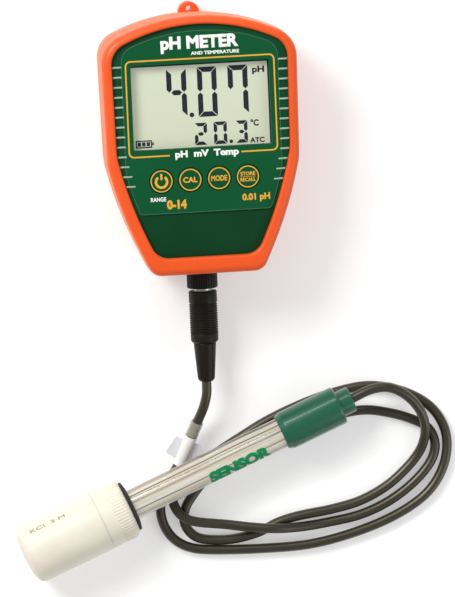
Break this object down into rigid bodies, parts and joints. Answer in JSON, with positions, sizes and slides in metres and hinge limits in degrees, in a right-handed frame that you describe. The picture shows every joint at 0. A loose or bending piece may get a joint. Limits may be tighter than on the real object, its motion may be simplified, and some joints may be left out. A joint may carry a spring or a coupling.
{
  "type": "digital ph meter",
  "caption": "Handheld digital pH meter with an arched housing, display and round keys, and a plug-in electrode on a looped lead, its tip in a storage bottle.",
  "frame": {"origin": "on the flat back of the meter's housing, at the middle of its width, 1.2 mm above the middle of its height", "axes": "+X to the right of the display, +Y towards the hanging tab, +Z out of the display; the meter lies on its back, and its electrode and lead lie on the same table"},
  "size_m": [0.1799, 0.2306, 0.039],
  "materials": {
    "orange_plastic": "satin",
    "green_plastic": "satin",
    "green_gloss": "gloss",
    "seal_rubber": "matt",
    "clear_window": "clear",
    "lcd": "satin",
    "white_plastic": "satin",
    "pink_silicone": "matt",
    "board_green": "satin",
    "black_epoxy": "satin",
    "steel": "brushed",
    "cell_jacket": "gloss",
    "black_plastic": "satin",
    "black_rubber": "satin",
    "red_wire": "satin",
    "gold_contact": "polished",
    "clear_film": "clear",
    "clear_polycarbonate": "clear",
    "silver_wire": "satin",
    "milky_plastic": "satin"
  },
  "bodies": {
    "meter": {"rear_housing": "orange_plastic", "front_bezel": "orange_plastic", "case_gasket": "seal_rubber", "face_plate": "green_plastic", "overlay_panel": "green_plastic", "window_lens": "clear_window", "lcd_glass": "lcd", "lcd_holder": "white_plastic", "zebra_strips": "pink_silicone", "main_board": "board_green", "board_chips": "black_epoxy", "tact_switches": "steel", "board_screws": "steel", "case_screws": "steel", "battery_tray": "black_epoxy", "battery_cells": "cell_jacket", "battery_contacts": "steel", "battery_door": "orange_plastic", "door_gasket": "seal_rubber", "door_screws": "steel", "socket_body": "black_plastic", "socket_nut": "steel", "socket_insert": "black_epoxy", "socket_wires": "red_wire"},
    "key_power_body": {"key_power": "green_plastic"},
    "key_cal_body": {"key_cal": "green_plastic"},
    "key_mode_body": {"key_mode": "green_plastic"},
    "key_recall_body": {"key_recall": "green_plastic"},
    "lead": {"plug_shell": "steel", "plug_insert": "black_epoxy", "plug_pins": "gold_contact", "plug_grip": "black_plastic", "plug_boot": "black_rubber", "lead_cord": "black_rubber", "clear_sleeve": "clear_film", "id_label": "white_plastic", "label_flag": "clear_film", "electrode_cap": "green_gloss", "electrode_tube": "clear_polycarbonate", "inner_stem": "clear_polycarbonate", "glass_bulb": "clear_polycarbonate", "element_wires": "silver_wire", "temp_sensor": "steel", "stem_plug": "black_epoxy"},
    "ring": {"coupling_ring": "black_plastic"},
    "seal": {"cap_seal": "seal_rubber"},
    "bottle_cap": {"storage_cap": "milky_plastic"},
    "bottle": {"storage_bottle": "milky_plastic"}
  },
  "joints": [
    {"name": "key_power_press", "type": "slide", "parent": "meter", "child": "key_power_body", "axis": [0, 0, -1], "range_m": [0, 0.0004], "stiffness_N_per_m": 800},
    {"name": "key_cal_press", "type": "slide", "parent": "meter", "child": "key_cal_body", "axis": [0, 0, -1], "range_m": [0, 0.0004], "stiffness_N_per_m": 800},
    {"name": "key_mode_press", "type": "slide", "parent": "meter", "child": "key_mode_body", "axis": [0, 0, -1], "range_m": [0, 0.0004], "stiffness_N_per_m": 800},
    {"name": "key_recall_press", "type": "slide", "parent": "meter", "child": "key_recall_body", "axis": [0, 0, -1], "range_m": [0, 0.0004], "stiffness_N_per_m": 800},
    {"name": "plug_pull", "type": "slide", "parent": "meter", "child": "lead", "axis": [0, -1, 0], "range_m": [0, 0.012]},
    {"name": "ring_turn", "type": "hinge", "parent": "lead", "child": "ring", "pos_m": [0, -0.0587, 0.012], "axis": [0, -1, 0], "range_deg": [0, 360]},
    {"name": "bottle_pull", "type": "slide", "parent": "lead", "child": "seal", "axis": [-0.9232, -0.3843, 0], "range_m": [0, 0.045]},
    {"name": "cap_turn", "type": "hinge", "parent": "seal", "child": "bottle_cap", "pos_m": [-0.03957, -0.15193, 0.0126], "axis": [0.9232, 0.3843, 0], "range_deg": [0, 540]},
    {"name": "bottle_unscrew", "type": "slide", "parent": "seal", "child": "bottle", "axis": [-0.9232, -0.3843, 0], "range_m": [0, 0.0045]}
  ],
  "couplings": [
    {"joint": "bottle_unscrew", "follows": "cap_turn", "m_per_rad": 0.000477}
  ]
}
